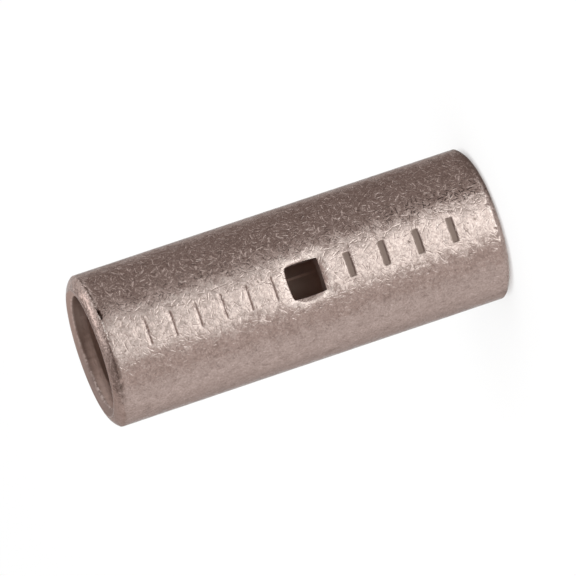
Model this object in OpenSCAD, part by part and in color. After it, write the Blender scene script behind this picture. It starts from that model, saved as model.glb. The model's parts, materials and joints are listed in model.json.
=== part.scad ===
// Compression splice: a plain tinned copper tube that is pressed over the ends of two cables.
// It stands on one end, with its axis along Z and its inspection window facing -Y.
// Every edge is a crowned bevel: a flat cone that bulges a little, as tumbled soft metal does.

/* [Tube] */
// Outside diameter of the tube
outer_d = 12; // [11:0.1:16]
// Diameter of the bore that takes the stripped conductors
bore_d = 9; // [6:0.1:10]
// Length of the tube from end face to end face
length = 32.15; // [20:0.05:60]

/* [Ends] */
// Width of the flat ring that is left on each end face
end_land = 0.15; // [0.05:0.01:0.4]
// Length along the tube of the bevelled lip outside the flat ring
lip_length = 0.6; // [0.2:0.05:1.5]
// Bulge of the lip beyond a straight cone
lip_crown = 0.1; // [0.02:0.01:0.15]
// Leg of the bevel at each mouth of the bore
mouth_bevel = 0.35; // [0.1:0.05:0.6]
// Bulge of the mouth's bevel beyond a straight cone
mouth_crown = 0.05; // [0.01:0.01:0.06]

/* [Inspection window] */
// Length of the window along the tube
window_length = 2.6; // [1.5:0.1:6]
// Width of the window across the tube
window_width = 2.55; // [1.5:0.05:5]
// How far the middle of the window lies below the middle of the tube
window_shift = 0.3; // [-4:0.1:4]
// Width of the rolled edge that the punch drew in round the window
roll_width = 0.35; // [0.1:0.05:0.8]
// Depth of the rolled edge
roll_depth = 0.22; // [0.1:0.02:0.5]
// Bulge of the rolled edge beyond a straight bevel
roll_crown = 0.05; // [0.01:0.01:0.06]

/* [Hidden] */
$fn = 96;
outer_r = outer_d / 2;
bore_r = bore_d / 2;
wall = outer_r - bore_r;
// The lip takes what the flat ring and the mouth leave of the wall
lip_width = wall - end_land - mouth_bevel;
// How far a cut runs past the surface that it starts from
overcut = 0.5;
tinned_copper = [0.66, 0.59, 0.56];

// What is taken off a corner at the origin of a solid that fills x > 0 and y > 0.
// The new edge runs from [leg_x, 0] to [0, leg_y] on an arc that stands out by crown.
module crowned_bevel(leg_x, leg_y, crown) {
    chord = norm([leg_x, leg_y]);
    arc_r = (chord * chord / 4 + crown * crown) / (2 * crown);
    reach = (arc_r - crown) / chord;
    difference() {
        translate([-overcut, -overcut])
            square([leg_x + overcut, leg_y + overcut]);
        translate([leg_x / 2 + leg_y * reach, leg_y / 2 + leg_x * reach])
            circle(arc_r);
    }
}

// Both bevels of the end at z = 0, in the radius and height plane
module end_bevels() {
    translate([outer_r, 0])
        mirror([1, 0])
            crowned_bevel(lip_width, lip_length, lip_crown);
    translate([bore_r, 0])
        crowned_bevel(mouth_bevel, mouth_bevel, mouth_crown);
}

// Section of the tube wall, in the radius and height plane
module wall_section() {
    difference() {
        translate([bore_r, 0])
            square([wall, length]);
        end_bevels();
        translate([0, length])
            mirror([0, 1])
                end_bevels();
    }
}

// Section of the window along the tube, in the radius and height plane, centred on height 0
module window_length_section() {
    translate([0, -window_length / 2])
        square([outer_r + overcut, window_length]);
    for (end = [0, 1])
        mirror([0, end])
            translate([outer_r, window_length / 2])
                mirror([1, 0])
                    crowned_bevel(roll_depth, roll_width, roll_crown);
}

// Section of the window across the tube, in the X and Y plane, through the front wall only
module window_width_section() {
    lean = asin(window_width / outer_d);
    translate([-window_width / 2, -outer_r - overcut])
        square([window_width, outer_r + overcut]);
    for (side = [0, 1])
        mirror([side, 0])
            translate([window_width / 2, -outer_r * cos(lean)])
                rotate(lean)
                    crowned_bevel(roll_width, roll_depth, roll_crown);
}

// The punched window: the rolled edges along the tube and across it meet at mitred corners
module window_cut() {
    intersection() {
        translate([0, 0, length / 2 - window_shift])
            rotate_extrude()
                window_length_section();
        linear_extrude(length)
            window_width_section();
    }
}

module sleeve() {
    color(tinned_copper)
        difference() {
            rotate_extrude()
                wall_section();
            window_cut();
        }
}

sleeve();
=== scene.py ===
# %% [markdown]
# # A tinned copper compression splice
#
# The object is a short tube that an electrician slides over two cable ends and presses tight. It is cut
# from copper tube, punched with a small window, stamped, tin plated, and tumbled in a drum with hundreds of
# its kind. All that handling is what the eye reads: soft edges, nicks on the rims and a coat of short,
# curved hairline scratches.
#
# This lesson loads the measured model as a fixed frame, builds the same tube again as a finer mesh with its
# stamped strokes and nicks, and gives it a plated finish.

# %% Load the frame
import json
import math

import bmesh
import bpy
from mathutils import Matrix, Vector


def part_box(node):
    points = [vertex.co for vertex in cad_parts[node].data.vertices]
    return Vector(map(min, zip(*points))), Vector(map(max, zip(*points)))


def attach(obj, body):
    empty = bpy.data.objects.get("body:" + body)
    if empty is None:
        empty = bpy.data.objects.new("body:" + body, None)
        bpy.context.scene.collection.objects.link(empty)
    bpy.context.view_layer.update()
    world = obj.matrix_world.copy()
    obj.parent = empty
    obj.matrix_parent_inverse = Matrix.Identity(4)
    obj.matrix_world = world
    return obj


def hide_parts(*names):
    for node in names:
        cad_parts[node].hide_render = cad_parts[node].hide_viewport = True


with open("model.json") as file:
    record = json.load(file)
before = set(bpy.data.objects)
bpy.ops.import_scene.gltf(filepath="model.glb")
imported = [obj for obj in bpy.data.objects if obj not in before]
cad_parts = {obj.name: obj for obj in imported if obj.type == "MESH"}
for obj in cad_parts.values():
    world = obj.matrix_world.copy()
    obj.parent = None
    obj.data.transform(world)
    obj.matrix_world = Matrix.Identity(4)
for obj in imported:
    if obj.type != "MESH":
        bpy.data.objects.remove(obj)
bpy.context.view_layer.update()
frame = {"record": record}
MM = 0.001  # one millimetre in metres, the unit of every Blender object here

# %% [markdown]
# ## Sizes
#
# Whatever the frame knows is read from it: the outside of the tube from its box, and the bore from the
# mount that the record states. The small edges are not in the record, so they are written here once, in
# millimetres, and every later cell works from these names.

# %% Read the sizes of the tube
low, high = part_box("sleeve")
mounts = {m["name"]: m for m in frame["record"]["mounts"]}
length = high.z / MM
outer_radius = (high.x - low.x) / 2 / MM
bore_radius = mounts["cable_bore"]["dims"]["r_mm"]
end_land = 0.11
mouth_bevel = 0.46  # filed a little wider than the plain solid shows
mouth_crown = 0.05
lip_length = 0.6
lip_crown = 0.1
lip_width = outer_radius - bore_radius - end_land - mouth_bevel
window_length = 2.6
window_width = 2.55
window_shift = 0.3  # how far the window lies below mid-length
roll_width = 0.35
roll_depth = 0.22
print(f"tube {2 * outer_radius:.2f} x {length:.2f}, bore {2 * bore_radius:.2f}, lip {lip_width:.2f} mm")

# %% [markdown]
# ## Camera
#
# The tube stands on its end in its own frame, while the picture shows it leaning to one side. Nothing is
# tilted for that: the camera is rolled instead. A long lens from a good half metre away keeps the sides of
# the tube almost parallel, as in a catalogue picture. The lens follows from how many pixels one millimetre
# covers.

# %% Directions of the view
view_elevation = math.radians(11.5)
view_azimuth = math.radians(-1.8)
view_roll = math.radians(18.53)
away = Vector((
    math.sin(view_azimuth) * math.cos(view_elevation),
    -math.cos(view_azimuth) * math.cos(view_elevation),
    math.sin(view_elevation),
))
across = Vector((math.cos(view_azimuth), math.sin(view_azimuth), 0.0))
along = away.cross(across)
right = -across * math.sin(view_roll) - along * math.cos(view_roll)
up = away.cross(right)
print("towards the camera:", [round(v, 3) for v in away])

# %% Place the camera
image_side = 576
pixels_per_mm = 13.2
picture_middle = (288.05, 287.42)  # where the tube's middle lies, in pixels from the upper left
view_distance = 554.0
sensor_width = 36.0
nearest_seen = 0.01  # metres, as is the next
farthest_seen = 10.0

scene = bpy.context.scene
camera_data = bpy.data.cameras.new("camera")
camera_data.sensor_width = sensor_width
camera_data.lens = sensor_width * pixels_per_mm * view_distance / image_side
camera_data.clip_start = nearest_seen
camera_data.clip_end = farthest_seen
camera = bpy.data.objects.new("camera", camera_data)
middle = Vector((0.0, 0.0, length / 2)) * MM
turn = Matrix((right, up, away)).transposed()
aside = right * (image_side / 2 - picture_middle[0]) + up * (picture_middle[1] - image_side / 2)
camera_place = middle + (away * view_distance + aside / pixels_per_mm) * MM
camera.matrix_world = Matrix.Translation(camera_place) @ turn.to_4x4()
scene.collection.objects.link(camera)
scene.camera = camera
print(f"lens {camera_data.lens:.0f} mm at {view_distance:.0f} mm")

# %% [markdown]
# ## Two helpers
#
# Colours are written as the hex values that a paint program shows. Blender's sockets take linear light, so
# one function converts them. Shader trees and geometry trees are built the same way, so one more function
# adds a node, sets its properties and fills its sockets, each with a plain value, a socket, or a node whose
# first output is meant. The kinds of node that come up most have short names. A range node takes a value,
# the two limits that it comes from and the two that it goes to, which are 0 and 1 if they are left out.

# %% Colour and node helpers
def linear(hex_colour):
    """An sRGB colour such as "#a8968f" as the linear RGBA that sockets take."""
    shares = [int(hex_colour[i:i + 2], 16) / 255 for i in (1, 3, 5)]
    return [s / 12.92 if s <= 0.04045 else ((s + 0.055) / 1.055) ** 2.4 for s in shares] + [1.0]


MATH, RANGE = "ShaderNodeMath", "ShaderNodeMapRange"
VECTOR, MIX = "ShaderNodeVectorMath", "ShaderNodeMix"


def add(tree, kind, *values, **settings):
    """Add one node, set its properties, and fill its sockets in order, or by the keys of a dict."""
    node = tree.nodes.new(kind)
    for name, value in settings.items():
        setattr(node, name, value)
    wanted = {}
    for i, value in enumerate(values):
        wanted.update(value if isinstance(value, dict) else {i: value})
    for key, value in wanted.items():
        if isinstance(value, bpy.types.Node):
            value = next(o for o in value.outputs if o.enabled)
        if isinstance(value, bpy.types.NodeSocket):
            tree.links.new(value, node.inputs[key])
        else:
            node.inputs[key].default_value = value
    return node


print("middle grey in linear light:", round(linear("#808080")[0], 3))

# %% [markdown]
# ## White room, floor and lamp
#
# Plated metal has almost no colour of its own: it shows the room. A plain white room gives the tube its
# middle tone. The floor is a sheet of matt paper. Lamps alone would leave it grey, so to the camera it is
# white by its own light, and only a share of it stays matt and keeps the soft shadow that one wide lamp
# casts from above. Under the bore all of it is matt, because paper would lie in the dark there.

# %% White room
scene.view_settings.view_transform = "Standard"
world = bpy.data.worlds.new("white_room")
world.use_nodes = True
world.node_tree.nodes["Background"].inputs["Color"].default_value = linear("#ffffff")
scene.world = world
print("world:", world.name, "seen by", scene.view_settings.view_transform)

# %% Paper floor
floor_radius = 600.0
floor_sides = 96
shadow_share = 0.25
floor_mesh = bpy.data.meshes.new("floor")
shape = bmesh.new()
bmesh.ops.create_circle(shape, cap_ends=True, segments=floor_sides, radius=floor_radius * MM)
shape.to_mesh(floor_mesh)
shape.free()
floor = bpy.data.objects.new("floor", floor_mesh)
floor.visible_glossy = False

paper = bpy.data.materials.new("matt white paper")
paper.use_nodes = True
sheet = paper.node_tree
sheet.nodes.clear()
matt = add(sheet, "ShaderNodeBsdfDiffuse", {"Color": linear("#f4f4f4")})
white = add(sheet, "ShaderNodeEmission", {"Color": linear("#ffffff")})
ray = add(sheet, "ShaderNodeLightPath")
where = add(sheet, "ShaderNodeTexCoord")
from_axis = add(sheet, VECTOR, where.outputs["Object"], operation="LENGTH")
bright = add(
    sheet, RANGE, from_axis.outputs["Value"],
    bore_radius * MM, outer_radius * MM, 0.0, 1 - shadow_share,
)
seen = add(sheet, MATH, ray.outputs["Is Camera Ray"], bright, operation="MULTIPLY")
surface = add(sheet, "ShaderNodeMixShader", seen, matt, white)
add(sheet, "ShaderNodeOutputMaterial", {"Surface": surface})
floor_mesh.materials.append(paper)
scene.collection.objects.link(floor)
print("floor:", 2 * floor_radius, "mm across")

# %% Overhead lamp
lamp_width = 0.35  # metres, as is its place
lamp_place = Vector((0.1, -0.25, 0.45))
lamp_power = 0.9  # watts
lamp_data = bpy.data.lights.new("overhead_softbox", "AREA")
lamp_data.shape = "DISK"
lamp_data.size = lamp_width
lamp_data.energy = lamp_power
lamp = bpy.data.objects.new("overhead_softbox", lamp_data)
lamp.location = lamp_place
lamp.rotation_mode = "QUATERNION"
lamp.rotation_quaternion = (middle - lamp_place).to_track_quat("-Z", "Y")
lamp.visible_glossy = False
scene.collection.objects.link(lamp)
print("lamp at", [round(v / MM) for v in lamp_place], "mm")

# %% [markdown]
# ## Reflection cards
#
# A photographer gives bare metal its form with white and dark cards that mirror in it. Here curved cards
# stand round the tube. Bright strips round the camera draw the wide highlight. Dark cards to the right,
# above and below draw the shadow band and the dark parts of the lips, and a few more lift or shade single
# sides, the back among them. Lamps could draw the highlight too, but they would change the floor. Only
# reflections see the cards, so the floor stays plain.

# %% One card
card_steps = 24
far_distance = 300.0
near_distance = 120.0
hidden_from = ("camera", "diffuse", "transmission", "volume_scatter", "shadow")


def card(name, azimuths, tilts, colour, brightness, distance=far_distance):
    """A curved card that only reflections see. Azimuths run from the window side towards +X, in degrees."""
    shape = bmesh.new()
    rows = []
    for i in range(card_steps + 1):
        azimuth = math.radians(azimuths[0] + (azimuths[1] - azimuths[0]) * i / card_steps)
        foot = Vector((math.sin(azimuth), -math.cos(azimuth), 0.0)) * distance
        heights = [distance * math.tan(math.radians(tilt)) + length / 2 for tilt in tilts]
        rows.append([shape.verts.new((foot + Vector((0.0, 0.0, h))) * MM) for h in heights])
    for left_row, right_row in zip(rows, rows[1:]):
        shape.faces.new((left_row[0], right_row[0], right_row[1], left_row[1]))
    mesh = bpy.data.meshes.new(name)
    shape.to_mesh(mesh)
    shape.free()
    glow = bpy.data.materials.new(name)
    glow.use_nodes = True
    glow.node_tree.nodes.clear()
    light = add(glow.node_tree, "ShaderNodeEmission", {"Color": linear(colour), "Strength": brightness})
    add(glow.node_tree, "ShaderNodeOutputMaterial", {"Surface": light})
    mesh.materials.append(glow)
    piece = bpy.data.objects.new(name, mesh)
    for kind in hidden_from:
        setattr(piece, f"visible_{kind}", False)
    scene.collection.objects.link(piece)
    return piece


print("a card has", card_steps, "faces and is hidden from", hidden_from)

# %% All the cards
white_card, cool_card, pale_card, warm_card = "#ffffff", "#f4feff", "#fff8f5", "#fff1ec"
cards = [
    card("shoulder_card", (23, 40), (-14, 8), cool_card, 1.4, near_distance),
    card("low_shoulder_card", (23, 34), (-25, -16.5), cool_card, 2.8, near_distance),
    card("edge_dark_card", (40, 52), (-50, -14), warm_card, 0.5, near_distance),
    card("front_dark_card", (-60, 60), (18, 34), warm_card, 0.75),
    card("high_front_dark_card", (-60, 60), (34, 65), warm_card, 0.35),
    card("dark_card", (53, 140), (-28, 3), warm_card, 0.38),
    card("shade_card", (-68, -36), (-45, 10), pale_card, 0.9),
    card("side_card", (-125, -72), (-50, 20), white_card, 1.12),
    card("high_bright_card", (108, 150), (38, 82), white_card, 2.5),
    card("back_strip", (165, 195), (-45, 4), cool_card, 1.6),
    card("back_shade_card", (180, 250), (0, 50), pale_card, 0.92),
    card("lip_bright_card", (157, 180), (5, 21), white_card, 1.35),
    card("lip_shade_card", (152, 180), (24, 62), pale_card, 0.62),
    card("high_dark_card", (190, 330), (50, 82), warm_card, 0.36),
    card("low_dark_card", (85, 176), (-66, -20), warm_card, 0.35),
]
strip_azimuths = (-28, 23)
strip_tilts = (10, -4, -9, -13, -17, -22, -70)
strip_level, strip_gain, strip_most = 1.8, 0.055, 3.1  # level with the tube, more per degree down, and most
for i, (top, foot) in enumerate(zip(strip_tilts, strip_tilts[1:])):
    glare = min(strip_level - strip_gain * (top + foot) / 2, strip_most)
    cards.append(card(f"bright_strip_{i}", strip_azimuths, (foot, top), cool_card, glare, near_distance))
print("cards:", [c.name for c in cards])

# %% [markdown]
# ## Scratches and facets
#
# In the tumbling drum every part rubs on every other, so the surface is rubbed into tiny flats and carries
# thousands of short scratches that run in all directions. A picture of scratches would have to be wrapped
# and would repeat. Instead, space is cut into random cells, and each cell holds one scratch: a point in the
# cell's own middle, a random direction in the surface, a length, a width and a slight bend. The same cells,
# each tilted its own way, give the rubbed flats.

# %% Random cells and rubbed facets
def open_group(name, kind, takes, gives):
    """A new node group with named sockets, and the outputs that hand out what it is given."""
    group = bpy.data.node_groups.new(name, kind)
    for in_out, wanted in (("INPUT", takes), ("OUTPUT", gives)):
        for label, socket in wanted.items():
            group.interface.new_socket(label, in_out=in_out, socket_type="NodeSocket" + socket)
    return group, add(group, "NodeGroupInput").outputs


def random_cells(group, place, cell_size):
    """Space cut into cells: the way from a cell's own point, and three chances from -0.5 to 0.5."""
    per_mm = add(group, MATH, 1.0, cell_size, operation="DIVIDE")
    scaled = add(group, VECTOR, {0: place, "Scale": per_mm}, operation="SCALE")
    cell = add(group, "ShaderNodeTexVoronoi", {"Vector": scaled, "Scale": 1.0}).outputs
    apart = add(group, VECTOR, scaled, cell["Position"], operation="SUBTRACT")
    offset = add(group, VECTOR, {0: apart, "Scale": cell_size}, operation="SCALE")
    chance = add(group, VECTOR, cell["Color"], (0.5, 0.5, 0.5), operation="SUBTRACT")
    return offset, chance


# The same cells tilted: twice a chance is a share of the steepest slope, upwards or downwards.
takes = {"Place": "Vector", "Cell Size": "Float", "Slope": "Float"}
facets, given = open_group("rubbed facets", "ShaderNodeTree", takes, {"Height": "Float"})
offset, chance = random_cells(facets, given["Place"], given["Cell Size"])
rise = add(facets, VECTOR, offset, chance, operation="DOT_PRODUCT").outputs["Value"]
for factor in (2.0, given["Slope"]):
    rise = add(facets, MATH, rise, factor, operation="MULTIPLY")
add(facets, "NodeGroupOutput", {"Height": rise})
print("facet group has", len(facets.nodes), "nodes")

# %% Hairline scratches
takes = {
    "Place": "Vector", "Facing": "Vector", "Shift": "Vector",
    "Cell Size": "Float", "Half Width": "Float", "Half Length": "Float",
}
hairlines, given = open_group("hairline scratches", "ShaderNodeTree", takes, {"Depth": "Float"})
moved = add(hairlines, VECTOR, given["Place"], given["Shift"])
offset, chance = random_cells(hairlines, moved, given["Cell Size"])
side = add(hairlines, VECTOR, given["Facing"], chance, operation="CROSS_PRODUCT")
side = add(hairlines, VECTOR, side, operation="NORMALIZE")
run = add(hairlines, VECTOR, side, given["Facing"], operation="CROSS_PRODUCT")
sideways, forward = [
    add(hairlines, VECTOR, offset, way, operation="DOT_PRODUCT").outputs["Value"]
    for way in (side, run)
]
squared = add(hairlines, MATH, forward, 2.0, operation="POWER")
bend = add(hairlines, "ShaderNodeSeparateXYZ", chance)
bent = add(hairlines, MATH, squared, bend, sideways, operation="MULTIPLY_ADD")
off_line, beyond = [add(hairlines, MATH, way, operation="ABSOLUTE") for way in (bent, forward)]
flank = add(hairlines, RANGE, off_line, given["Half Width"], 0.0, interpolation_type="SMOOTHSTEP")
end_taper = 2.0  # a scratch grows shallow over the outer half of each arm
ends = add(hairlines, RANGE, beyond, given["Half Length"], 0.0, 0.0, end_taper)
ends = add(hairlines, MATH, ends, 1.0, operation="MINIMUM")
depth = add(hairlines, MATH, flank, ends, operation="MULTIPLY")
add(hairlines, "NodeGroupOutput", {"Depth": depth})
print("scratch group has", len(hairlines.nodes), "nodes")

# %% [markdown]
# ## The plated finish, its relief
#
# Tin plating is a soft, silvery metal. Over copper, and lit warmly, it reads as a grey with a breath of
# pink. One plain noise would make it look cast. Several sizes of scratches on top of each other, more of
# them on one side, give the mixture of the drum, with pits among them. Along one band the scratches are
# fainter, and the dark flecks there are painted shade. The filed mouths, the drawn bore and the floors of
# the broad strokes were out of the drum's reach, so the relief stays off them.

# %% Tin: the metal and its parts
tin = bpy.data.materials.new("tin plated copper, tumbled")
tin.use_nodes = True
coat = tin.node_tree
metal = coat.nodes["Principled BSDF"]
metal.inputs["Metallic"].default_value = 1.0
metal.inputs["Specular Tint"].default_value = linear("#cbc6c4")
where = add(coat, "ShaderNodeTexCoord").outputs
place = add(coat, VECTOR, {0: where["Object"], "Scale": 1 / MM}, operation="SCALE")
axes = add(coat, "ShaderNodeSeparateXYZ", place).outputs
parts = ("recess", "halo", "edge", "mouth", "bore", "punched", "torn")
on = {part: add(coat, "ShaderNodeAttribute", attribute_name=part).outputs["Fac"] for part in parts}
print("finish:", tin.name, "tells apart", parts)

# %% Tin: layers of scratches
# Each layer: cell size, half width, half length and depth, in millimetres. Real scratches are finer than a
# pixel of the picture, so these are drawn as wide and deep as they need to show.
pit_layer = (0.9, 0.08, 0.2, 0.014)
scratch_layers = [
    (1.2, 0.08, 0.36, 0.022),
    (0.88, 0.07, 0.28, 0.018),
    (0.66, 0.06, 0.2, 0.014),
    (0.45, 0.045, 0.14, 0.009),
]
fleck_layer = (0.34, 0.055, 0.2, 0.016)
layer_shift = Vector((17.0, 5.0, 11.0))  # from each layer to the next, so that no two share their cells
cuts = []
for i, (cell_size, half_width, arm, deepest) in enumerate([pit_layer, *scratch_layers, fleck_layer]):
    layer = add(coat, "ShaderNodeGroup", {
        "Place": place, "Facing": where["Normal"], "Shift": layer_shift * i,
        "Cell Size": cell_size, "Half Width": half_width, "Half Length": arm,
    }, node_tree=hairlines)
    cuts.append(add(coat, MATH, layer, deepest, operation="MULTIPLY"))
pits, scratches, *others, dark_flecks = cuts
for cut in others:
    scratches = add(coat, MATH, scratches, cut, operation="ADD")
print("layers of marks:", len(cuts))

# %% Tin: where it is rubbed and where dirt gathers
rubbed_side = (0.9, -0.43, 0.0)
dull_size = 0.6
towards = add(coat, VECTOR, place, rubbed_side, operation="DOT_PRODUCT").outputs["Value"]
least_rubbed, most_rubbed = 0.4, 1.25
rubbing = add(coat, RANGE, towards, -1.0, 6.0, least_rubbed, most_rubbed)
dull = add(coat, "ShaderNodeTexNoise", {
    "Vector": place, "Scale": 1 / dull_size, "Detail": 3.0, "Roughness": 0.6,
})
dirty = add(coat, RANGE, dull, 0.5, 0.6, 0.0, rubbing)  # small spots
shade_patches = add(coat, RANGE, dull, 0.42, 0.52)  # wide spots, which make the painted shade patchy
pits = add(coat, MATH, pits, dirty, operation="MULTIPLY")
print("dirt gathers in spots of", dull_size, "mm")

# %% Tin: the band of painted dark flecks
# Dark flecks along this band are painted shade, and the other scratches are fainter there.
fleck_band_place = 2.45  # how far towards +X the band lies
fleck_band_half_width = 1.1
fleck_band_core = 0.2
fleck_band_spares = 0.4  # what is left of the other scratches there
off_fleck_band = add(coat, MATH, axes["X"], fleck_band_place, operation="SUBTRACT")
off_fleck_band = add(coat, MATH, off_fleck_band, operation="ABSOLUTE")
in_fleck_band = add(coat, RANGE, off_fleck_band, fleck_band_half_width, fleck_band_core)
spared = add(coat, RANGE, in_fleck_band, 0.0, 1.0, 1.0, fleck_band_spares)
for share in (rubbing, spared):
    scratches = add(coat, MATH, scratches, share, operation="MULTIPLY")
fleck_band_end = add(coat, RANGE, axes["Z"], 10.0, 6.0, 0.5)  # half as strong towards the upper end
for share in (in_fleck_band, fleck_band_end, shade_patches):
    dark_flecks = add(coat, MATH, dark_flecks, share, operation="MULTIPLY")
print("scuffed band:", 2 * fleck_band_half_width, "mm wide")

# %% Tin: the relief
patch_size = 0.8
patch_height = 0.036
facet_layers = [(0.5, 0.05), (0.28, 0.045)]  # the size of a facet in millimetres and its steepest slope
patches = add(coat, "ShaderNodeTexNoise", {
    "Vector": place, "Scale": 1 / patch_size, "Detail": 4.0, "Roughness": 0.6,
})
relief = add(coat, MATH, patches, patch_height, operation="MULTIPLY")
for cut in (scratches, pits):
    relief = add(coat, MATH, relief, cut, operation="SUBTRACT")
for facet_size, steepest in facet_layers:
    layer = add(coat, "ShaderNodeGroup", {
        "Place": place, "Cell Size": facet_size, "Slope": steepest,
    }, node_tree=facets)
    relief = add(coat, MATH, relief, layer, operation="ADD")
sheltered = on["recess"]
for part in ("bore", "mouth"):
    sheltered = add(coat, MATH, sheltered, on[part], operation="MAXIMUM")
rubbed = add(coat, MATH, 1.0, sheltered, operation="SUBTRACT")
relief = add(coat, MATH, relief, rubbed, operation="MULTIPLY")
bump = add(coat, "ShaderNodeBump", {"Height": relief, "Distance": MM, "Strength": 1.0})
coat.links.new(bump.outputs["Normal"], metal.inputs["Normal"])
print("relief:", len(coat.nodes), "nodes")

# %% [markdown]
# ## The plated finish, its colours
#
# A tumbled part isn't one grey. Its scratches are bright and dirt stays in some pits. Painted shade darkens
# the stroke floors, the torn spot, a band of flecks and one side of each rim and mouth, while the other rim
# edges and the mouths' edges carry painted glints and a ring round the window is burnished. Painting that
# by hand would need a wrapped picture. Here each mark is a share from 0 to 1, known from the relief or from
# a named part of the mesh, and its colour is laid over what is there. The bore was drawn, not tumbled: it
# has faint streaks along the tube, painted light on one side, painted shadow past a ring a good millimetre
# inside the mouth, and one light line along the middle.

# %% Tin: mottled grey with its marks
A, B = 6, 7  # the colour sockets of a Mix node, which share their names with its other sockets
grain_size = 0.18
grain_strength = 0.65
grain = add(coat, "ShaderNodeTexNoise", {"Vector": place, "Scale": 1 / grain_size, "Detail": 2.0})
grain = add(coat, RANGE, grain, 0.0, 1.0, -grain_strength, grain_strength)
mottled = add(coat, MATH, patches, grain, operation="ADD", use_clamp=True)
tint = add(coat, MIX, {0: mottled, A: linear("#938079"), B: linear("#b8a59e")}, data_type="RGBA")

# The second number is the share of the mark's colour that one millimetre of its depth would give.
worn, soiled, painted_flecks = [
    add(coat, MATH, cut, per_mm, operation="MULTIPLY", use_clamp=True)
    for cut, per_mm in ((scratches, 19.0), (pits, 45.0), (dark_flecks, 100.0))
]
spot_strength, ring_strength, far_rim_shade_strength = 0.35, 0.22, 0.5
spots = add(coat, RANGE, dull, 0.55, 0.75, 0.0, spot_strength)
ringed = add(coat, RANGE, on["halo"], 0.4, 0.8, 0.0, ring_strength)
far_side = add(coat, RANGE, axes["X"], 2.3, 3.6)  # towards +X
# The last 1.5 mm of the lower end are darkened towards +X: painted shade.
low_end = add(coat, RANGE, axes["Z"], 1.5, 0.4, 0.0, far_rim_shade_strength)
far_rim_shade = add(coat, MATH, low_end, far_side, operation="MULTIPLY")
# On the stroke floors (recess) the colour #695952 is painted shade in the recesses.
marks = (
    (worn, "#cdbbb4"), (spots, "#705e57"), (soiled, "#5f4e47"), (painted_flecks, "#382a25"),
    (on["recess"], "#695952"), (ringed, "#dccac2"), (far_rim_shade, "#75645d"),
)
for share, colour in marks:
    tint = add(coat, MIX, {0: share, A: tint, B: linear(colour)}, data_type="RGBA")
print("marks laid over the grey:", len(marks))

# %% Tin: rims with painted glints and painted shade
glint_size = 0.3
glints = add(coat, "ShaderNodeTexNoise", {"Vector": place, "Scale": 1 / glint_size, "Detail": 2.0})
glint_strength = 0.75
glints = add(coat, RANGE, glints, 0.45, 0.6, 0.0, glint_strength)
lower_side = add(coat, RANGE, axes["X"], 2.0, -2.0)  # towards -X
upper_side, near_side = [
    add(coat, MATH, 1.0, other, operation="SUBTRACT") for other in (lower_side, far_side)
]
upper_end = add(coat, MATH, axes["Z"], length / 2, operation="GREATER_THAN")
bright_rim = add(coat, MATH, near_side, upper_end, operation="MAXIMUM")
# Light beads along the rim edges towards +X and along the mouths' edges are painted glints on burnished
# edges.
glinting_side = add(coat, MATH, upper_side, bright_rim, operation="MULTIPLY")
burnish_and_glints = add(coat, MATH, glinting_side, on["mouth"], operation="MAXIMUM")
for share in (on["edge"], glints):
    burnish_and_glints = add(coat, MATH, burnish_and_glints, share, operation="MULTIPLY")
rim_end = add(coat, RANGE, axes["X"], -4.6, -3.2, 0.25)  # a quarter is left outermost
# On the upper end the rim edges are darkened in patches towards -X: painted shade.
rim_shade = add(coat, RANGE, on["edge"], 0.0, 0.6, 0.0, upper_end)
for share in (lower_side, rubbed, shade_patches, rim_end):
    rim_shade = add(coat, MATH, rim_shade, share, operation="MULTIPLY")
# The filed mouths are lighter, and darker towards -X: painted shade.
filed_and_shaded = add(coat, MIX, {0: lower_side, A: linear("#bda8a0"), B: linear("#8f7e78")}, data_type="RGBA")
print("with the rims:", len(coat.nodes), "nodes")

# %% Tin: the bore near its mouths
streak_size = 0.35
streak_stretch = (1.0, 1.0, 0.02)
streak_strength = 0.08
from_middle = add(coat, MATH, axes["Z"], length / 2, operation="SUBTRACT")
from_middle = add(coat, MATH, from_middle, operation="ABSOLUTE")
from_end = add(coat, MATH, length / 2, from_middle, operation="SUBTRACT")
stretched = add(coat, VECTOR, place, streak_stretch, operation="MULTIPLY")
drawn = add(coat, "ShaderNodeTexNoise", {"Vector": stretched, "Scale": 1 / streak_size, "Detail": 2.0})
drawn = add(coat, RANGE, drawn, 0.35, 0.65, -streak_strength, streak_strength)
inward = add(coat, RANGE, from_end, 0.35, 1.25, -0.3, 0.25)  # lighter from the mouth inwards
lit_and_streaked = add(coat, RANGE, axes["X"], 1.6, -4.2)  # and painted light towards -X
for change in (drawn, inward):
    lit_and_streaked = add(coat, MATH, lit_and_streaked, change, operation="ADD", use_clamp=True)
inside = add(coat, MIX, {0: lit_and_streaked, A: linear("#75635b"), B: linear("#cdb5ab")}, data_type="RGBA")
print("with the mouths of the bore:", len(coat.nodes), "nodes")

# %% Tin: the deep bore
line_place = 0.67  # how far towards +X the light line lies
line_half_width, line_core = 0.14, 0.05
ring_start, ring_stop = 1.22, 1.34  # how far inside the mouth the painted shadow in the bore starts
past_ring = add(coat, RANGE, from_end, 1.3, 1.8)
deep_tint = add(coat, MIX, {0: past_ring, A: linear("#7a665c"), B: linear("#aa9185")}, data_type="RGBA")
off_line = add(coat, MATH, axes["X"], line_place, operation="SUBTRACT")
off_line = add(coat, MATH, off_line, operation="ABSOLUTE")
line = add(coat, RANGE, off_line, line_half_width, line_core)
line_end = add(coat, RANGE, from_middle, 3.5, 1.5)  # only near mid-length
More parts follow.
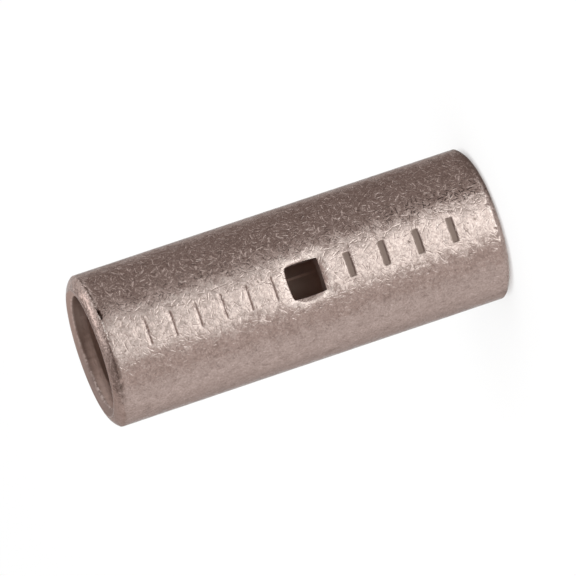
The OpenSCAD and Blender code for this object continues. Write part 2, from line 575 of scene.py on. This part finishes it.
# Past the ring the bore is darker, except towards -X: painted shadow.
deep = add(coat, RANGE, from_end, ring_start, ring_stop)
shaded = add(coat, RANGE, axes["X"], -3.4, -2.0)  # not towards -X, where the bore is painted light
line, deep = [
    add(coat, MATH, band, limit, operation="MULTIPLY")
    for band, limit in ((line, line_end), (deep, shaded))
]
deep_tint = add(coat, MIX, {0: line, A: deep_tint, B: linear("#e0c4b7")}, data_type="RGBA")
inside = add(coat, MIX, {0: deep, A: inside, B: deep_tint}, data_type="RGBA")
# Rows are long in the bore, so the bore's share fades over a whole row and is cut off sharply here.
in_bore = add(coat, RANGE, on["bore"], 0.45, 0.55)
print("with the deep bore:", len(coat.nodes), "nodes")

# %% Tin: colours and sheen brought together
tumbled_roughness = 0.27
sheltered_roughness = 0.45
cut_roughness = 0.6  # on the filed mouths and the punched walls of the window
# Painted shade: the filed mouths towards -X, the rims and the torn spot; painted glints: the rim edges;
# painted light and shadow: the bore.
layers = (
    (on["mouth"], filed_and_shaded), (burnish_and_glints, linear("#e6d6cf")), (rim_shade, linear("#7b6a63")),
    (in_bore, inside), (on["punched"], linear("#a08d85")), (on["torn"], linear("#493931")),
)
for share, colour in layers:
    tint = add(coat, MIX, {0: share, A: tint, B: colour}, data_type="RGBA")
coat.links.new(tint.outputs[2], metal.inputs["Base Color"])
sheen = add(coat, RANGE, sheltered, 0.0, 1.0, tumbled_roughness, sheltered_roughness)
rough_cut = add(coat, MATH, on["mouth"], on["punched"], operation="MAXIMUM")
rough_cut = add(coat, MATH, rough_cut, cut_roughness, operation="MULTIPLY")
sheen = add(coat, MATH, sheen, rough_cut, operation="MAXIMUM")
coat.links.new(sheen.outputs[0], metal.inputs["Roughness"])
print("finish:", tin.name, "with", len(coat.nodes), "nodes")

# %% [markdown]
# ## The tube as a rule
#
# The tube is a section turned round an axis, so a rule can make it. A screw or spin would give even rings,
# but the stamped strokes and the rolled edge of the window need fine faces in front and only coarse ones
# behind. Geometry Nodes can do that: a flat grid is made with as many columns and rows as are wanted, every
# point asks which column and row it stands in, and moves to its place on the tube. Columns are packed close
# over the window's width and spread out towards the back. One column and one row fall exactly on each edge
# of the window, so the window is opened by deleting faces, with no cut to tidy up.

# %% Counts of the grid
window_columns = 20  # on each side of the middle, as are the other counts but the last
side_columns = 64
window_rows = 18
outer_rows = 200
bore_rows = 12
end_rows = 18
crowding = 0.25  # spacing of the columns next to the window, as a share of the average
columns = 2 * (window_columns + side_columns)
print("columns:", columns, "outer rows:", 2 * (window_rows + outer_rows))

# %% A column's angle
def counted(group, number, inner_count, outer_count):
    """A column's or row's share of the half window, its share of what lies beyond, and its side."""
    size = add(group, MATH, number, operation="ABSOLUTE")
    inner = add(group, MATH, size, inner_count, operation="MINIMUM")
    outer = add(group, MATH, size, inner, operation="SUBTRACT")
    inner = add(group, MATH, inner, inner_count, operation="DIVIDE")
    outer = add(group, MATH, outer, outer_count, operation="DIVIDE")
    return inner, outer, add(group, MATH, number, operation="SIGN")


# Even steps in width over the window, then wider and wider steps to the back
takes = {"Column": "Float", "Radius": "Float", "Half Window Width": "Float"}
column_angle, given = open_group("column angle", "GeometryNodeTree", takes, {"Angle": "Float"})
share, step, way = counted(column_angle, given["Column"], window_columns, side_columns)
reach = add(column_angle, MATH, share, given["Half Window Width"], operation="MULTIPLY")
sine = add(column_angle, MATH, reach, given["Radius"], operation="DIVIDE")
near = add(column_angle, MATH, sine, operation="ARCSINE")
slope = add(column_angle, MATH, step, 1 - crowding, crowding, operation="MULTIPLY_ADD")
eased = add(column_angle, MATH, step, slope, operation="MULTIPLY")
rest = add(column_angle, MATH, math.pi, near, operation="SUBTRACT")
angle = add(column_angle, MATH, rest, eased, near, operation="MULTIPLY_ADD")
angle = add(column_angle, MATH, angle, way, operation="MULTIPLY")
add(column_angle, "NodeGroupOutput", {"Angle": angle})
print("angle of a column:", len(column_angle.nodes), "nodes")

# %% A row's height and a point on the tube
# A row counts from the window's middle, in even steps over the window and in even steps beyond it
takes = {"Row": "Float", "Side Rows": "Float", "Half Window Length": "Float", "Half Height": "Float"}
row_height, given = open_group("row height", "GeometryNodeTree", takes, {"Height": "Float"})
share, step, way = counted(row_height, given["Row"], window_rows, given["Side Rows"])
half_window = given["Half Window Length"]
side = add(row_height, MATH, given["Half Height"], half_window, operation="SUBTRACT")
part = add(row_height, MATH, share, half_window, operation="MULTIPLY")
height = add(row_height, MATH, step, side, part, operation="MULTIPLY_ADD")
height = add(row_height, MATH, height, way, operation="MULTIPLY")
add(row_height, "NodeGroupOutput", {"Height": height})

# Angle 0 is the window's side, which faces -Y
takes = {"Angle": "Float", "Radius": "Float", "Height": "Float"}
on_tube, given = open_group("on the tube", "GeometryNodeTree", takes, {"Point": "Vector"})
front = add(on_tube, MATH, given["Radius"], -1.0, operation="MULTIPLY")
point = add(on_tube, "ShaderNodeCombineXYZ", {"Y": front, "Z": given["Height"]})
turned = add(on_tube, "ShaderNodeVectorRotate", {
    "Vector": point, "Angle": given["Angle"],
}, rotation_type="Z_AXIS")
add(on_tube, "NodeGroupOutput", {"Point": turned})
print("groups:", [g.name for g in (column_angle, row_height, on_tube)])

# %% [markdown]
# ## Stamped strokes
#
# A splice carries stamped marks on both sides of its window. Here they are plain strokes that show how deep
# a conductor has gone: thin chiselled ones on the upper half and broad flat-bottomed ones on the lower
# half. A boolean cut would leave slivers in the mesh, so each stroke is a rule of its own, a depth that
# grows from its flanks and ends inwards. It is real relief in the mesh, so it holds from every side.

# %% A row of strokes
labels = ("Along", "Across", "First", "Pitch", "Last", "Half Width", "Half Length", "Flank", "Deepest")
takes = {label: "Float" for label in labels}
stroke_row, given = open_group("stroke row", "GeometryNodeTree", takes, {"Depth": "Float"})
start = add(stroke_row, MATH, given["Along"], given["First"], operation="SUBTRACT")
number = add(stroke_row, MATH, start, given["Pitch"], operation="DIVIDE")
number = add(stroke_row, MATH, number, operation="ROUND")
number = add(stroke_row, "ShaderNodeClamp", {"Value": number, "Min": 0.0, "Max": given["Last"]})
line = add(stroke_row, MATH, number, given["Pitch"], operation="MULTIPLY")
aside = add(stroke_row, MATH, start, line, operation="SUBTRACT")
room = []
for half, off in ((given["Half Width"], aside), (given["Half Length"], given["Across"])):
    off = add(stroke_row, MATH, off, operation="ABSOLUTE")
    room.append(add(stroke_row, MATH, half, off, operation="SUBTRACT"))
within = add(stroke_row, MATH, room[0], room[1], operation="MINIMUM")
depth = add(stroke_row, RANGE, within, 0.0, given["Flank"], 0.0, given["Deepest"])
add(stroke_row, "NodeGroupOutput", {"Depth": depth})
print("stroke group has", len(stroke_row.nodes), "nodes")

# %% [markdown]
# ## Inputs of the tree
#
# Every size that shapes the tube is a named input of its tree, in millimetres or radians, so that it can be
# changed in one place. Strokes start and repeat on whole rows of the grid, because otherwise each would be
# cut a little differently.

# %% The section and the rows
def crowned(start, end, crown):
    """The middle of an arc between two points of the section that stands out of the wall by crown."""
    chord = end - start
    outward = Vector((chord.z, 0.0, -chord.x)).normalized()
    return (start + end) / 2 + outward * crown


lip_start = Vector((outer_radius, 0.0, length - lip_length))
lip_end = Vector((outer_radius - lip_width, 0.0, length))
mouth_start = Vector((bore_radius + mouth_bevel, 0.0, length))
mouth_end = Vector((bore_radius, 0.0, length - mouth_bevel))
side_length = length / 2 - lip_length - window_length / 2
upper_step = (side_length + window_shift) / outer_rows
lower_step = (side_length - window_shift) / outer_rows
tick_rows, tick_pitch_rows = 18, 28  # from the window to the first stroke, and from each to the next
bar_rows, bar_pitch_rows = 152, 40
print("row steps", round(upper_step, 4), "and", round(lower_step, 4), "mm")

# %% The sizes of the tube and its window
tube_sizes = {
    "Outer Radius": outer_radius,
    "Bore Radius": bore_radius,
    "Half Length": length / 2,
    "Lip Start": lip_start,
    "Lip Middle": crowned(lip_start, lip_end, lip_crown),
    "Lip End": lip_end,
    "Mouth Start": mouth_start,
    "Mouth Middle": crowned(mouth_start, mouth_end, mouth_crown),
    "Mouth End": mouth_end,
    "Mouth Radius": bore_radius + mouth_bevel + end_land / 2,
    "Mouth Narrowing": 0.45,
    "Half Window Width": window_width / 2,
    "Half Window Length": window_length / 2,
    "Window Shift": window_shift,
    "Upper Roll Width": 0.5 * roll_width,
    "Lower Roll Width": 1.5 * roll_width,
    "Upper Roll Depth": 0.5 * roll_depth,
    "Lower Roll Depth": 0.4 * roll_depth,
    "Corner Roll": 0.3,
    "Crescent Width": 0.48,
    "Crescent Slope": 0.48,
    "Dish Reach": 1.2,
    "Dish Depth": 0.09,
    "Side Bow": 0.08,
    "Upper Bow": 0.09,
    "Bow Reach": 1.5,
}
print("inputs so far:", len(tube_sizes))

# %% The sizes of strokes and handling marks
tube_sizes.update({
    "Tick First": window_length / 2 + tick_rows * upper_step,
    "Tick Pitch": tick_pitch_rows * upper_step,
    "Tick Last": 5.0,
    "Tick Half Width": 0.16,
    "Tick Half Length": 1.05,
    "Tick Depth": 0.08,
    "Bar First": -window_length / 2 - bar_rows * lower_step,
    "Bar Pitch": bar_pitch_rows * lower_step,
    "Bar Last": 3.0,
    "Bar Half Width": 0.3,
    "Bar Half Length": 1.0,
    "Bar Flank": 0.1,
    "Bar Depth": 0.06,
    "Dent Size": 1.3,
    "Dent Depth": 0.015,
    "Nick Size": 0.4,
    "Nick Depth": 0.3,
    "Nick Reach": 0.3,
    "Tear Angle": math.radians(24),
    "Tear Half Length": 0.66,
    "Tear Half Height": 0.12,
    "Tear Depth": 0.22,
    "Tear Drop": 0.15,
    "Crack Angle": math.radians(38),
    "Crack Half Span": math.radians(46),
    "Crack Half Height": 0.16,
    "Crack Depth": 0.045,
    "Crack Wander": 0.4,
    "Crack Drop": 0.12,
    "Edge Reach": 0.28,
})
print("inputs of the tree:", len(tube_sizes))

# %% [markdown]
# ## Walls and ends
#
# The real tube was drawn, sawn and bevelled, so its section is two straight walls with a crowned lip, a
# flat ring and a filed mouth at each end. Each wall is a grid that is wrapped round the axis. An end is a
# grid too, and its rows follow the curve of the section. The lower end is the upper one mirrored, with its
# faces turned round again.

# %% The tree: from a flat grid to the tube
takes = {
    label: "Vector" if isinstance(size, Vector) else "Float" for label, size in tube_sizes.items()
}
tree, given = open_group("turned tube", "GeometryNodeTree", takes, {"Tube": "Geometry"})
spot = add(tree, "GeometryNodeInputPosition")
here = add(tree, "ShaderNodeSeparateXYZ", spot).outputs
column, row = here["X"], here["Y"]  # as long as the grid is flat
half_length = given["Half Length"]


def flat_wall(side_rows):
    """A flat grid for one wall, with the window's faces deleted."""
    rows = 2 * (window_rows + side_rows)
    grid = add(tree, "GeometryNodeMeshGrid", {
        "Size X": columns, "Size Y": rows, "Vertices X": columns + 1, "Vertices Y": rows + 1,
    })
    within = []
    for number, count in ((column, window_columns), (row, window_rows)):
        size = add(tree, MATH, number, operation="ABSOLUTE")
        within.append(add(tree, MATH, size, count, operation="LESS_THAN"))
    opening = add(tree, MATH, within[0], within[1], operation="MULTIPLY")
    return add(tree, "GeometryNodeDeleteGeometry", {"Geometry": grid, "Selection": opening}, domain="FACE")


def angle_at(radius):
    """The angle of the grid's columns where the tube has this radius."""
    return add(tree, "GeometryNodeGroup", {
        "Column": column, "Radius": radius, "Half Window Width": given["Half Window Width"],
    }, node_tree=column_angle)


def wrapped(flat, radius, height):
    """The flat grid moved to its place on the tube."""
    point = add(tree, "GeometryNodeGroup", {
        "Angle": angle_at(radius), "Radius": radius, "Height": height,
    }, node_tree=on_tube)
    return add(tree, "GeometryNodeSetPosition", {"Geometry": flat, "Position": point})


print("inputs as sockets:", len(given) - 1)

# %% The tree: the bore
def over_middle(point):
    """How far a point of the section lies above mid-length."""
    top = add(tree, "ShaderNodeSeparateXYZ", point).outputs["Z"]
    return add(tree, MATH, top, half_length, operation="SUBTRACT")


def wall_height(side_rows, edge, way):
    """The height of the grid's rows from the window's middle, as far as a point of the section.

    The window lies below mid-length, so one side is longer. The way is 1 where rows count upwards, else -1.
    """
    upper = add(tree, MATH, row, operation="SIGN")
    longer = add(tree, MATH, upper, way, operation="MULTIPLY")
    half_height = add(
        tree, MATH, longer, given["Window Shift"], over_middle(edge), operation="MULTIPLY_ADD",
    )
    return add(tree, "GeometryNodeGroup", {
        "Row": row, "Side Rows": side_rows,
        "Half Window Length": given["Half Window Length"], "Half Height": half_height,
    }, node_tree=row_height)


window_middle = add(tree, MATH, half_length, given["Window Shift"], operation="SUBTRACT")
bore_height = wall_height(bore_rows, given["Mouth End"], -1)
bore_down = add(tree, MATH, window_middle, bore_height, operation="SUBTRACT")
bore_wall = wrapped(flat_wall(bore_rows), given["Bore Radius"], bore_down)
bore_wall = add(tree, "GeometryNodeStoreNamedAttribute", {
    "Geometry": bore_wall, "Name": "bore", "Value": 1.0,
})
print("with the bore:", len(tree.nodes), "nodes")

# %% The tree: the ends
lip_points, mouth_points = 24, 16
lip_arc, mouth_arc = [add(tree, "GeometryNodeCurveArc", {
    "Resolution": points, **{stop: given[f"{name} {stop}"] for stop in ("Start", "Middle", "End")},
}, mode="POINTS") for name, points in (("Lip", lip_points), ("Mouth", mouth_points))]
land = add(tree, "GeometryNodeCurvePrimitiveLine", {"Start": given["Lip End"], "End": given["Mouth Start"]})
section = add(tree, "GeometryNodeJoinGeometry")
for part in (mouth_arc, land, lip_arc):
    tree.links.new(part.outputs["Curve"], section.inputs[0])
inward = add(tree, RANGE, row, -end_rows / 2, end_rows / 2)
sample = add(tree, "GeometryNodeSampleCurve", {
    "Curves": section, "Factor": inward,
}, mode="FACTOR", use_all_curves=True)
rim = add(tree, "ShaderNodeSeparateXYZ", sample.outputs["Position"]).outputs
end_grid = add(tree, "GeometryNodeMeshGrid", {
    "Size X": columns, "Size Y": end_rows, "Vertices X": columns + 1, "Vertices Y": end_rows + 1,
})
top_end = wrapped(end_grid, rim["X"], rim["Z"])
double_length = add(tree, MATH, half_length, 2.0, operation="MULTIPLY")
lift = add(tree, "ShaderNodeCombineXYZ", {"Z": double_length})
low_end = add(tree, "GeometryNodeTransform", {
    "Geometry": top_end, "Translation": lift, "Scale": (1.0, 1.0, -1.0),
})
low_end = add(tree, "GeometryNodeFlipFaces", {"Mesh": low_end})
print("with the ends:", len(tree.nodes), "nodes")

# %% [markdown]
# ## The outer wall and its window
#
# The punch has drawn in the wall round the window, in a narrow roll above it and a wide, shallow one below,
# and has left a bevelled crescent along its left edge. A bevel modifier would give the same width all
# round. Here every point of the wall asks how far it lies past the window's edge and sinks by a rule, and
# the strokes sink in the same way.

# %% The tree: the roll round the window
def far_from(x, y):
    """The distance that two offsets at right angles make."""
    both = add(tree, "ShaderNodeCombineXYZ", {"X": x, "Y": y})
    return add(tree, VECTOR, both, operation="LENGTH").outputs["Value"]


outer = given["Outer Radius"]
half_wide, half_long = given["Half Window Width"], given["Half Window Length"]
outer_height = wall_height(outer_rows, given["Lip Start"], 1)
arc = add(tree, MATH, angle_at(outer), outer, operation="MULTIPLY")
edge_sine = add(tree, MATH, half_wide, outer, operation="DIVIDE")
edge_angle = add(tree, MATH, edge_sine, operation="ARCSINE")
edge_arc = add(tree, MATH, edge_angle, outer, operation="MULTIPLY")
past, shares = [], []
for off, half in ((arc, edge_arc), (outer_height, half_long)):
    size = add(tree, MATH, off, operation="ABSOLUTE")
    over = add(tree, MATH, size, half, operation="SUBTRACT")
    past.append(add(tree, MATH, over, 0.0, operation="MAXIMUM"))
    shares.append(add(tree, MATH, size, half, operation="DIVIDE"))
past_edge = far_from(*past)
lower_edge = add(tree, MATH, half_long, -1.0, operation="MULTIPLY")
roll_reach, roll_drop = [add(
    tree, RANGE, outer_height, half_long, lower_edge,
    given["Upper Roll " + part], given["Lower Roll " + part],
) for part in ("Width", "Depth")]
corner = add(tree, MATH, shares[0], shares[1], operation="MINIMUM")
corner = add(tree, MATH, corner, 2.0, operation="POWER")
corner_share = add(tree, RANGE, corner, 0.0, 1.0, 1.0, given["Corner Roll"])
near_edge = add(tree, RANGE, past_edge, roll_reach, 0.0)
roll = add(tree, MATH, near_edge, 2.0, operation="POWER")
for share in (roll_drop, corner_share):
    roll = add(tree, MATH, roll, share, operation="MULTIPLY")
print("with the roll:", len(tree.nodes), "nodes")

# %% The tree: the crescent and the dish
slack = 0.02  # takes in the points of the window's own edge
left = add(tree, MATH, arc, -1.0, operation="MULTIPLY")
past_left = add(tree, MATH, left, edge_arc, operation="SUBTRACT")
beside = add(tree, MATH, past_left, -slack, operation="GREATER_THAN")
level = add(tree, MATH, shares[1], 2.0, operation="POWER")
crescent = add(tree, RANGE, level, 0.0, 1.0, given["Crescent Width"], 0.0)
crescent = add(tree, MATH, crescent, past_left, operation="SUBTRACT")
for share in (given["Crescent Slope"], beside):
    crescent = add(tree, MATH, crescent, share, operation="MULTIPLY")
roll = add(tree, MATH, roll, crescent, operation="MAXIMUM")
near_window = add(tree, RANGE, past_edge, given["Dish Reach"], 0.0)
sag = add(tree, MATH, near_window, 2.0, operation="POWER")
rolled = add(tree, MATH, sag, given["Dish Depth"], roll, operation="MULTIPLY_ADD")
print("with crescent and dish:", len(tree.nodes), "nodes")

# %% The tree: strokes on the outer wall
ticks, bars = [add(tree, "GeometryNodeGroup", {
    "Along": outer_height, "Across": arc, "Flank": given[flank], "Deepest": given[name + " Depth"],
    **{part: given[f"{name} {part}"] for part in ("First", "Pitch", "Last", "Half Width", "Half Length")},
}, node_tree=stroke_row) for name, flank in (("Tick", "Tick Half Width"), ("Bar", "Bar Flank"))]
stamped = add(tree, MATH, ticks, bars, operation="MAXIMUM")
sunk = add(tree, MATH, stamped, rolled, operation="ADD")
outer_depth = add(tree, MATH, outer, sunk, operation="SUBTRACT")
outer_up = add(tree, MATH, window_middle, outer_height, operation="ADD")
pressed = add(tree, RANGE, bars, 0.0, given["Bar Depth"])
outer_flat = flat_wall(outer_rows)
for name, value in (("recess", pressed), ("halo", near_window)):
    outer_flat = add(tree, "GeometryNodeStoreNamedAttribute", {
        "Geometry": outer_flat, "Name": name, "Value": value,
    })
outer_wall = wrapped(outer_flat, outer_depth, outer_up)
print("with the outer wall:", len(tree.nodes), "nodes")

# %% [markdown]
# ## The window's own walls
#
# The punch leaves four plain walls where it went through. Cutting would make new points that fit nothing,
# so the parts are sewn together first, and then the outer edge of the opening is drawn inwards until it
# meets the edge in the bore. The real edges are bowed a little, because soft metal gives way, so the points
# near them move out, most in the middle of an edge and not at all in its corners.

# %% The tree: sewn together and closed at the window
seam = 0.002
one_face = 1.5  # an edge with fewer faces than this is open
x, y, z = (here[axis] for axis in "XYZ")  # from here on the points stand on the tube
joined = add(tree, "GeometryNodeJoinGeometry")
for part in (outer_wall, top_end, low_end, bore_wall):
    tree.links.new(part.outputs[0], joined.inputs[0])
sewn = add(tree, "GeometryNodeMergeByDistance", {"Geometry": joined, "Distance": seam})

neighbours = add(tree, "GeometryNodeInputMeshEdgeNeighbors")
bare = add(tree, MATH, neighbours, one_face, operation="LESS_THAN")
off_axis = far_from(x, y)
between = add(tree, MATH, outer, given["Bore Radius"], operation="ADD")
between = add(tree, MATH, between, 0.5, operation="MULTIPLY")
outside = add(tree, MATH, off_axis, between, operation="GREATER_THAN")
window_edge = add(tree, MATH, bare, outside, operation="MULTIPLY")
drawn_in = add(tree, "GeometryNodeExtrudeMesh", {
    "Mesh": sewn, "Selection": window_edge, "Offset Scale": 0.0,
}, mode="EDGES").outputs
window_wall = add(tree, "GeometryNodeStoreNamedAttribute", {
    "Geometry": drawn_in["Mesh"], "Name": "punched", "Value": drawn_in["Side"],
}, domain="FACE")
bore_square, x_square = [
    add(tree, MATH, value, 2.0, operation="POWER") for value in (given["Bore Radius"], x)
]
y_square = add(tree, MATH, bore_square, x_square, operation="SUBTRACT")
y_size = add(tree, MATH, y_square, operation="SQRT")
y_front = add(tree, MATH, y_size, -1.0, operation="MULTIPLY")
inner_spot = add(tree, "ShaderNodeCombineXYZ", {"X": x, "Y": y_front, "Z": z})
window_wall = add(tree, "GeometryNodeSetPosition", {
    "Geometry": window_wall, "Selection": drawn_in["Top"], "Position": inner_spot,
})
closed = add(tree, "GeometryNodeMergeByDistance", {"Geometry": window_wall, "Distance": seam})
print("closed:", len(tree.nodes), "nodes")

# %% The tree: the bowed edges of the window
front = add(tree, MATH, y, 0.0, operation="LESS_THAN")
through = add(tree, RANGE, off_axis, given["Bore Radius"], between, interpolation_type="SMOOTHSTEP")
through = add(tree, MATH, through, front, operation="MULTIPLY")
up_window = add(tree, MATH, z, window_middle, operation="SUBTRACT")


def bow(off, half, beside, half_beside, most):
    """How far a point beside an edge of the window moves out, less and less towards the corners."""
    size = add(tree, MATH, off, operation="ABSOLUTE")
    over = add(tree, MATH, size, half, operation="SUBTRACT")
    near = add(tree, RANGE, over, given["Bow Reach"], 0.0)
    near = add(tree, MATH, near, 2.0, operation="POWER")
    share = add(tree, MATH, beside, half_beside, operation="DIVIDE")
    share = add(tree, MATH, share, 2.0, operation="POWER")
    rise = add(tree, MATH, 1.0, share, operation="SUBTRACT", use_clamp=True)
    way = add(tree, MATH, off, operation="SIGN")
    for factor in (near, through, way, most):
        rise = add(tree, MATH, rise, factor, operation="MULTIPLY")
    return rise


side_bow = bow(x, half_wide, up_window, half_long, given["Side Bow"])
end_bow = bow(up_window, half_long, x, half_wide, given["Upper Bow"])
upper_bow = add(tree, MATH, end_bow, 0.0, operation="MAXIMUM")
bulge = add(tree, "ShaderNodeCombineXYZ", {"X": side_bow, "Z": upper_bow})
bowed = add(tree, "GeometryNodeSetPosition", {"Geometry": closed, "Offset": bulge})
print("with bowed edges:", len(tree.nodes), "nodes")

# %% [markdown]
# ## Handling marks
#
# The drum leaves shallow dents all over and small nicks on the rims. The upper rim also has one deeper torn
# spot and a fine crack beside it, and its mouth is filed unevenly, narrower on one side. Sculpting would
# fix all that to one mesh. As rules they follow the sizes: noise gives each mark its place and its ragged
# outline, and the distance from a rim keeps it there.

# %% The tree: dents and nicks
dent_top = 0.75  # about the most that the noise reaches, so dents go inwards
chip_level = 0.52  # only noise above this nicks a rim
dents, chips = [add(tree, "ShaderNodeTexNoise", {
    "Vector": spot, "Detail": detail,
    "Scale": add(tree, MATH, 1.0, given[size], operation="DIVIDE"),
}) for size, detail in (("Dent Size", 1.0), ("Nick Size", 2.0))]
dent = add(tree, MATH, dents, dent_top, operation="SUBTRACT")
dent = add(tree, MATH, dent, given["Dent Depth"], operation="MULTIPLY")
above = add(tree, MATH, z, half_length, operation="SUBTRACT")
above_size = add(tree, MATH, above, operation="ABSOLUTE")
rim_half = over_middle(given["Lip Start"])
past_rim = add(tree, MATH, above_size, rim_half, operation="SUBTRACT")
under_rim = add(tree, MATH, off_axis, outer, operation="SUBTRACT")
from_rim = far_from(past_rim, under_rim)
at_rim = add(tree, RANGE, from_rim, given["Nick Reach"], 0.0, interpolation_type="SMOOTHSTEP")
nick = add(tree, RANGE, chips, chip_level, 1.0)
for factor in (at_rim, given["Nick Depth"]):
    nick = add(tree, MATH, nick, factor, operation="MULTIPLY")
print("with dents and nicks:", len(tree.nodes), "nodes")

# %% The tree: the torn spot
tear_rag = 2.0  # how strongly the noise breaks up its outline
tear_start, tear_floor = 2.0, 1.4  # the ragged distance where it starts and where it is deepest
behind = add(tree, MATH, y, -1.0, operation="MULTIPLY")
bearing = add(tree, MATH, x, behind, operation="ARCTAN2")
along_rim = add(tree, MATH, bearing, given["Tear Angle"], operation="SUBTRACT")
along_rim = add(tree, MATH, along_rim, outer, operation="MULTIPLY")
along_rim = add(tree, MATH, along_rim, given["Tear Half Length"], operation="DIVIDE")
over_rim = add(tree, MATH, above, rim_half, operation="SUBTRACT")
over_tear = add(tree, MATH, over_rim, given["Tear Drop"], operation="ADD")
over_tear = add(tree, MATH, over_tear, given["Tear Half Height"], operation="DIVIDE")
from_tear = far_from(along_rim, over_tear)
ragged = add(tree, MATH, chips, tear_rag, from_tear, operation="MULTIPLY_ADD")
tear = add(tree, RANGE, ragged, tear_start, tear_floor, 0.0, given["Tear Depth"])
print("with the torn spot:", len(tree.nodes), "nodes")

# %% The tree: the crack, and all marks together
noise_middle = 0.5
crack_full = 0.5  # radians from its middle within which the crack has its full depth
crack_tone = 0.4  # its share of the torn spot's painted shade
from_crack = add(tree, MATH, bearing, given["Crack Angle"], operation="SUBTRACT")
strayed = add(tree, MATH, chips, noise_middle, operation="SUBTRACT")
over_crack = add(tree, MATH, over_rim, given["Crack Drop"], operation="ADD")
off_crack = add(tree, MATH, strayed, given["Crack Wander"], over_crack, operation="MULTIPLY_ADD")
from_crack, off_crack = [
    add(tree, MATH, off, operation="ABSOLUTE") for off in (from_crack, off_crack)
]
in_span = add(tree, RANGE, from_crack, given["Crack Half Span"], crack_full)
crack = add(tree, RANGE, off_crack, given["Crack Half Height"], 0.0)
crack = add(tree, MATH, crack, in_span, operation="MULTIPLY")
cracked = add(tree, MATH, crack, given["Crack Depth"], operation="MULTIPLY")
worn_off = nick
for cut in (tear, cracked):
    worn_off = add(tree, MATH, worn_off, cut, operation="MAXIMUM")
push = add(tree, MATH, dent, worn_off, operation="SUBTRACT")
facing = add(tree, "GeometryNodeInputNormal")
move = add(tree, VECTOR, {0: facing, "Scale": push}, operation="SCALE")
# The torn spot and the crack are darkened in the finish: painted shade in the crevice.
torn = add(tree, MATH, tear, given["Tear Depth"], operation="DIVIDE")
crack_shade = add(tree, MATH, crack, crack_tone, operation="MULTIPLY")
torn = add(tree, MATH, torn, crack_shade, operation="MAXIMUM")
print("with the crack:", len(tree.nodes), "nodes")

# %% The tree: the mouths and their edges
mouth_half = over_middle(given["Mouth End"])
past_mouth = add(tree, MATH, above_size, mouth_half, operation="SUBTRACT")
over_bore = add(tree, MATH, off_axis, given["Bore Radius"], operation="SUBTRACT")
from_mouth = far_from(past_mouth, over_bore)
from_edge = add(tree, MATH, from_rim, from_mouth, operation="MINIMUM")
edge = add(tree, RANGE, from_edge, given["Edge Reach"], 0.0)
in_mouth = add(tree, MATH, off_axis, given["Mouth Radius"], operation="LESS_THAN")
at_end = add(tree, MATH, past_mouth, -seam, operation="GREATER_THAN")
mouth = add(tree, MATH, in_mouth, at_end, operation="MULTIPLY")

# The upper mouth is filed less deep towards +X.
narrow_side = add(tree, RANGE, x, -2.0, 3.5, interpolation_type="SMOOTHSTEP")
at_top = add(tree, MATH, above, 0.0, operation="GREATER_THAN")
narrowed = add(tree, MATH, half_length, above, operation="SUBTRACT")
for share in (given["Mouth Narrowing"], narrow_side, mouth, at_top):
    narrowed = add(tree, MATH, narrowed, share, operation="MULTIPLY")
filed_off = add(tree, "ShaderNodeCombineXYZ", {"Z": narrowed})
move = add(tree, VECTOR, move, filed_off)
marked = bowed
for name, value in (("torn", torn), ("edge", edge), ("mouth", mouth)):
    marked = add(tree, "GeometryNodeStoreNamedAttribute", {
        "Geometry": marked, "Name": name, "Value": value,
    })
handled = add(tree, "GeometryNodeSetPosition", {"Geometry": marked, "Offset": move})
print("with handling marks:", len(tree.nodes), "nodes")

# %% [markdown]
# ## From the tree to a mesh
#
# Soft metal has soft edges, so the whole tube is shaded smooth, and only steep folds such as the window's
# walls stay sharp. The tree works in millimetres and is scaled to metres at its end. An export drops live
# modifiers and instances, so the tree's result is kept as a plain mesh and the carrier of the modifier is
# removed.

# %% The tree: shading and the finish
sharp_fold = math.radians(55)  # steeper than the filed mouths
smooth = add(tree, "GeometryNodeSetShadeSmooth", {"Geometry": handled, "Shade Smooth": True}, domain="FACE")
fold = add(tree, "GeometryNodeInputMeshEdgeAngle").outputs["Unsigned Angle"]
sharp = add(tree, MATH, fold, sharp_fold, operation="GREATER_THAN")
smooth = add(tree, "GeometryNodeSetShadeSmooth", {
    "Geometry": smooth, "Selection": sharp, "Shade Smooth": False,
}, domain="EDGE")
metres = add(tree, "GeometryNodeTransform", {"Geometry": smooth, "Scale": (MM, MM, MM)})
real = add(tree, "GeometryNodeRealizeInstances", {"Geometry": metres})
coated = add(tree, "GeometryNodeSetMaterial", {"Geometry": real, "Material": tin})
add(tree, "NodeGroupOutput", {"Tube": coated})
print("whole tree:", len(tree.nodes), "nodes")

# %% Run the tree and keep a plain mesh
carrier = bpy.data.objects.new("tube_carrier", bpy.data.meshes.new("tube_carrier"))
scene.collection.objects.link(carrier)
modifier = carrier.modifiers.new("turned tube", "NODES")
modifier.node_group = tree
identifiers = {item.name: item.identifier for item in tree.interface.items_tree if item.in_out == "INPUT"}
for label, size in tube_sizes.items():
    modifier[identifiers[label]] = size
depsgraph = bpy.context.evaluated_depsgraph_get()
tube_mesh = bpy.data.meshes.new_from_object(carrier.evaluated_get(depsgraph), depsgraph=depsgraph)
bpy.data.objects.remove(carrier)
tube_mesh.name = "tinned_sleeve"
tube = bpy.data.objects.new("tinned_sleeve", tube_mesh)
scene.collection.objects.link(tube)

shape = bmesh.new()
shape.from_mesh(tube_mesh)
loose = [e for e in shape.edges if not e.is_manifold or not e.is_contiguous]
volume = shape.calc_volume(signed=True) / MM ** 3
triangles = sum(len(f.verts) - 2 for f in shape.faces)
shape.free()
print(f"tube: {triangles} triangles, {len(loose)} open or turned edges, {volume:.1f} mm3")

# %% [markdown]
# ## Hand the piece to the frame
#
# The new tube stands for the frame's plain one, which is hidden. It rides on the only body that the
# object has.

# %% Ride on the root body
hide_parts("sleeve")
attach(tube, "root")
